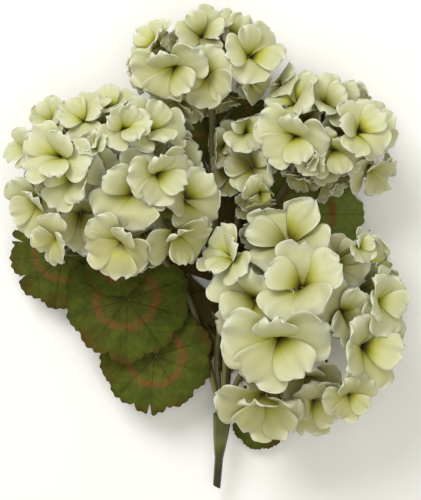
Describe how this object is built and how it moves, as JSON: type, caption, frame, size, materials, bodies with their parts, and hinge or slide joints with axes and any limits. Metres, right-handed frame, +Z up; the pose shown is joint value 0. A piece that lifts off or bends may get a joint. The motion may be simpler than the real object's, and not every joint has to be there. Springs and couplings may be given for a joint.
{
  "type": "artificial geranium bush",
  "caption": "Artificial geranium bush lying down: cream flower heads of five-petalled florets and round scalloped leaves on plastic stems that meet in a short slanted stub.",
  "frame": {"origin": "middle of the footprint, on the surface that the bush lies on", "axes": "+Y along the bush from the stub to the tip, +Z up from the surface, +X to the right"},
  "size_m": [0.2442, 0.2968, 0.1167],
  "materials": {
    "petal_cloth": "cream polyester cloth, yellow-green towards the throat of each floret",
    "leaf_cloth": "printed green cloth with a brown ring and pressed veins",
    "stem_plastic": "dark olive plastic over a wire",
    "stub_plastic": "moulded green plastic with a low shine"
  },
  "bodies": {
    "root": {"stub": "stub_plastic", "stem_left": "stem_plastic", "stem_top": "stem_plastic", "stem_right": "stem_plastic", "stem_front": "stem_plastic", "stem_back": "stem_plastic", "leaf_left": "leaf_cloth", "leaf_inner": "leaf_cloth", "leaf_middle": "leaf_cloth", "leaf_lower": "leaf_cloth", "leaf_right": "leaf_cloth", "leaf_top": "leaf_cloth", "leaf_upper": "leaf_cloth", "leaf_bottom": "leaf_cloth", "leaf_stem": "leaf_cloth", "leaf_centre": "leaf_cloth", "leaf_deep": "leaf_cloth", "leaf_under": "leaf_cloth", "leaf_hidden": "leaf_cloth", "head_left": "petal_cloth", "head_top": "petal_cloth", "head_right": "petal_cloth", "head_front": "petal_cloth", "head_back": "petal_cloth"}
  },
  "joints": []
}
